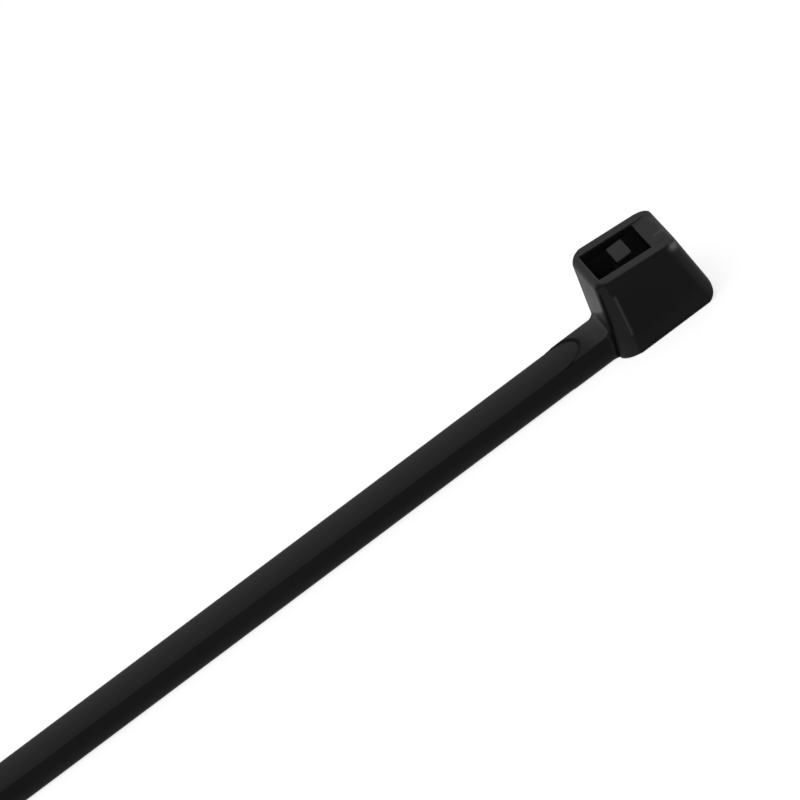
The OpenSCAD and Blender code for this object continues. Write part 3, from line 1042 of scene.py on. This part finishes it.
class TIE_OT_strap(bpy.types.Operator):
    """Makes the strap with its tail, its rack of teeth and its grip ribs"""

    bl_idname = "tie.make_strap"
    bl_label = "Make the strap"

    def execute(self, context):
        scene = context.scene
        size = Measures(scene)
        material = black_nylon(scene.tie_finish)
        self.make_bar(size, scene.tie_wear, material)
        self.make_rack(size, material)
        self.make_grip(size, material)
        return {"FINISHED"}

    def make_bar(self, size, painting, material):
        """The strap and its tail, with a recess underneath for the rack"""
        strap, rack = size.strap, size.rack
        radius = strap.tip_width / 2
        recess_near = size.rack_near_x + rack.pitch / 2
        recess_far = size.rack_near_x - size.teeth * rack.pitch
        stations = [(x, 0.0) for x in np.linspace(size.step_x, recess_near, NECK_RINGS)]
        stations += [(x, size.root_z) for x in np.linspace(recess_near, recess_far, RACK_RINGS)]
        stations.append((recess_far - size.root_z, 0.0))
        bare = np.linspace(recess_far - BARE_START, size.tip_x + radius, BARE_RINGS)
        stations += [(x, 0.0) for x in bare]
        turns = np.radians(np.linspace(0.0, 90.0, TIP_RINGS + 1))[1:]
        stations += [(size.tip_x + radius * (1.0 - math.sin(a)), 0.0) for a in turns]
        rings = [strap_ring(size, x, depth) for x, depth in stations]
        points = np.array(rings).reshape(-1, 3) / MM
        n = len(rings[0])
        faces = quads_between(len(rings), n) + [tuple(range(n))]
        base = mesh_of("tie_strap_base", points, faces)
        mesh = grow("tie_strap", base, tail_tree(), {
            "Material": material,
            "Tip": size.tip_x / MM,
            "Tail Length": strap.tail_length / MM,
            "Tip Width Share": strap.tip_width / strap.width,
            "Tip Thickness Share": strap.tip_thickness / strap.thickness,
            "Tip Radius": radius / MM,
        })
        face_out(mesh)
        # Painted reflection of the table, lighter low on the strap's sides
        paint(mesh, "rubbed", painted_foot_light(painting, vertex_rows(mesh, "co") * MM, vertex_rows(mesh, "normal")))
        show(mesh, material)

    def make_rack(self, size, material):
        """The saw teeth between the side rails"""
        rack = size.rack
        top = size.root_z + TOOTH_ROOT
        half = size.rack_half + TOOTH_OVERLAP
        near, far = rack.lean, rack.lean - rack.pitch
        side = [(near, size.root_z), (0.0, rack.sunk), (far, size.root_z), (far, top), (near, top)]
        points = [(x, y, z) for y in (-half, half) for x, z in side]
        faces = [(0, 1, 2, 3, 4), (9, 8, 7, 6, 5)]
        faces += [(i, i + 5, (i + 1) % 5 + 5, (i + 1) % 5) for i in range(5)]
        base = mesh_of("tie_tooth", np.array(points) / MM, faces)
        mesh = grow("tie_rack", base, row_tree("Rack"), {
            "Material": material,
            "Count": size.teeth,
            "Pitch": -rack.pitch / MM,
            "Start": (size.rack_near_x / MM, 0.0, 0.0),
        })
        face_out(mesh)
        show(mesh, material)

    def make_grip(self, size, material):
        """The low round ribs on the tail"""
        strap, rack = size.strap, size.rack
        fall = math.atan((strap.thickness - strap.tip_thickness) / strap.tail_length)
        turns = np.radians(np.linspace(0.0, 360.0, RIB_POINTS, endpoint=False))
        circle = [(rack.rib_radius * math.cos(a), rack.rib_radius * math.sin(a)) for a in turns]
        points = [(x * part, y, z * part) for y, part in RIB_ENDS for x, z in circle]
        n = len(circle)
        faces = quads_between(len(RIB_ENDS), n)
        faces += [tuple(range(n - 1, -1, -1)), tuple(range(len(points) - n, len(points)))]
        base = mesh_of("tie_rib", np.array(points) * [1 / MM, 1.0, 1 / MM], faces)
        start_x = size.tip_x + strap.tip_width
        slope = (strap.width - strap.tip_width) / strap.tail_length
        start_z = strap.tip_thickness + math.tan(fall) * strap.tip_width + rack.rib_height - rack.rib_radius
        mesh = grow("tie_grip", base, row_tree("Grip ribs"), {
            "Material": material,
            "Count": rack.rib_count,
            "Pitch": rack.rib_pitch / math.cos(fall) / MM,
            "Start": (start_x / MM, 0.0, start_z / MM),
            "Tilt": fall,
            "First Width": (strap.tip_width + slope * strap.tip_width - 2 * rack.rib_margin) / MM,
            "Width Step": slope * rack.rib_pitch / MM,
        })
        face_out(mesh)
        show(mesh, material)


# Studio, in metres: each lamp's name, place, side and watts, and the world's light by height

LAMPS = (
    ("tie_key", (-0.10, -0.12, 0.60), 0.50, 2.2),
    ("tie_sheen", (0.09, 0.16, 0.075), 0.07, 0.02),
)
SKY = ((0.0, 1.0), (0.18, 0.64), (0.45, 0.35), (1.0, 0.9))
FLOOR_GAP = 0.00001
CLIP_START = 0.01
CLIP_END = 50.0


class TIE_OT_stage(bpy.types.Operator):
    """Sets the white table, the soft lamps, the world and the camera"""

    bl_idname = "tie.set_stage"
    bl_label = "Set the stage"

    def execute(self, context):
        stage = context.scene.tie_stage
        self.lay_floor(stage)
        self.light_world(context.scene, stage)
        for name, place, side, power in LAMPS:
            self.hang_lamp(name, place, side, power)
        self.place_camera(context.scene, stage)
        context.scene.view_settings.view_transform = "Standard"
        return {"FINISHED"}

    def lay_floor(self, stage):
        """A white table that keeps the shadow of the tie"""
        half = stage.floor_half
        level = tie_low[2] - FLOOR_GAP
        corners = [(-half, -half, level), (half, -half, level), (half, half, level), (-half, half, level)]
        floor = bpy.data.objects.new("table", mesh_of("table", corners, [(0, 1, 2, 3)]))
        bpy.context.scene.collection.objects.link(floor)
        material = bpy.data.materials.new("white_table")
        material.use_nodes = True
        tree = material.node_tree
        tree.nodes.clear()
        path = add_node(tree, "ShaderNodeLightPath").outputs
        seen = path["Is Camera Ray"]
        for name in ("Is Glossy Ray", "Is Transmission Ray"):
            seen = add_node(tree, "ShaderNodeMath", {0: seen, 1: path[name]}, operation="MAXIMUM").outputs[0]
        lit = add_node(tree, "ShaderNodeBsdfDiffuse", {"Color": (*stage.floor_colour, 1.0)})
        faint = add_node(tree, "ShaderNodeBsdfDiffuse", {"Color": (*[stage.shadow_share] * 3, 1.0)})
        glow = add_node(tree, "ShaderNodeEmission", {"Strength": 1.0 - stage.shadow_share})
        both = add_node(tree, "ShaderNodeAddShader", {0: faint.outputs[0], 1: glow.outputs[0]})
        chosen = add_node(tree, "ShaderNodeMixShader", {0: seen, 1: lit.outputs[0], 2: both.outputs[0]})
        add_node(tree, "ShaderNodeOutputMaterial", {"Surface": chosen.outputs[0]})
        floor.data.materials.append(material)

    def light_world(self, scene, stage):
        """A soft sky with a black flag in it"""
        world = bpy.data.worlds.new("soft_studio")
        scene.world = world
        world.use_nodes = True
        tree = world.node_tree
        background = next(n for n in tree.nodes if n.type == "BACKGROUND")
        way = add_node(tree, "ShaderNodeTexCoord").outputs["Generated"]
        height = add_node(tree, "ShaderNodeSeparateXYZ", {0: way}).outputs[2]
        ramp = add_node(tree, "ShaderNodeValToRGB", {0: height})
        ramp.color_ramp.elements.remove(ramp.color_ramp.elements[1])
        for i, (at, level) in enumerate(SKY):
            stop = ramp.color_ramp.elements[0] if i == 0 else ramp.color_ramp.elements.new(at)
            stop.position = at
            stop.color = (level, level, level, 1.0)
        turn, flat = stage.flag_azimuth, math.cos(stage.flag_height)
        middle = (flat * math.cos(turn), flat * math.sin(turn), math.sin(stage.flag_height))
        towards = add_node(tree, "ShaderNodeVectorMath", {0: way, 1: middle}, operation="DOT_PRODUCT")
        flag = add_node(tree, "ShaderNodeMapRange", {
            "Value": towards.outputs["Value"],
            "From Min": math.cos(stage.flag_reach),
            "From Max": math.cos(stage.flag_core),
        }, interpolation_type="SMOOTHSTEP")
        shaded = mix(tree, "RGBA", flag.outputs[0], ramp.outputs[0], (0.0, 0.0, 0.0, 1.0))
        tree.links.new(shaded, background.inputs["Color"])
        background.inputs["Strength"].default_value = 1.0

    def hang_lamp(self, name, place, side, power):
        """A square lamp that points at the origin"""
        data = bpy.data.lights.new(name, "AREA")
        data.shape = "SQUARE"
        data.size = side
        data.energy = power
        lamp = bpy.data.objects.new(name, data)
        bpy.context.scene.collection.objects.link(lamp)
        lamp.location = place
        lamp.rotation_euler = (-Vector(place)).to_track_quat("-Z", "Y").to_euler()

    def place_camera(self, scene, stage):
        """The camera at the photograph's angle"""
        az, el, roll = stage.azimuth, stage.elevation, stage.roll
        back = Vector((math.sin(az) * math.cos(el), -math.cos(az) * math.cos(el), math.sin(el)))
        level = Vector((math.cos(az), math.sin(az), 0.0))
        upright = back.cross(level)
        right = level * math.cos(roll) - upright * math.sin(roll)
        up = level * math.sin(roll) + upright * math.cos(roll)
        data = bpy.data.cameras.new("camera")
        data.lens = stage.lens
        data.clip_start, data.clip_end = CLIP_START, CLIP_END
        camera = bpy.data.objects.new("camera", data)
        scene.collection.objects.link(camera)
        place = Vector(stage.aim) + back * stage.distance
        turn = Matrix((right, up, back)).transposed().to_4x4()
        camera.matrix_world = Matrix.Translation(place) @ turn
        scene.camera = camera


class TIE_PT_panel(bpy.types.Panel):
    """Sizes, finish and operators of the cable tie"""

    bl_idname = "TIE_PT_panel"
    bl_label = "Cable tie"
    bl_space_type = "VIEW_3D"
    bl_region_type = "UI"
    bl_category = "Cable tie"

    def draw(self, context):
        layout = self.layout
        scene = context.scene
        steps = (
            ("tie.make_head", (scene.tie_head, scene.tie_wear, scene.tie_finish)),
            ("tie.make_strap", (scene.tie_strap, scene.tie_rack)),
            ("tie.set_stage", (scene.tie_stage,)),
        )
        for operator, groups in steps:
            box = layout.box()
            box.operator(operator)
            for group in groups:
                for name in group.__annotations__:
                    box.prop(group, name)


GROUPS = {
    "tie_strap": TieStrapSettings,
    "tie_rack": TieRackSettings,
    "tie_head": TieHeadSettings,
    "tie_wear": TiePaintedLightSettings,
    "tie_finish": TieFinishSettings,
    "tie_stage": TieStageSettings,
}
CLASSES = (*GROUPS.values(), TIE_OT_head, TIE_OT_strap, TIE_OT_stage, TIE_PT_panel)


def register():
    for entry in CLASSES:
        bpy.utils.register_class(entry)
    for name, group in GROUPS.items():
        setattr(bpy.types.Scene, name, bpy.props.PointerProperty(type=group))


def unregister():
    for name in GROUPS:
        delattr(bpy.types.Scene, name)
    for entry in reversed(CLASSES):
        bpy.utils.unregister_class(entry)


def main():
    register()
    bpy.ops.tie.make_head()
    bpy.ops.tie.make_strap()
    bpy.ops.tie.set_stage()


if __name__ == "__main__":
    main()
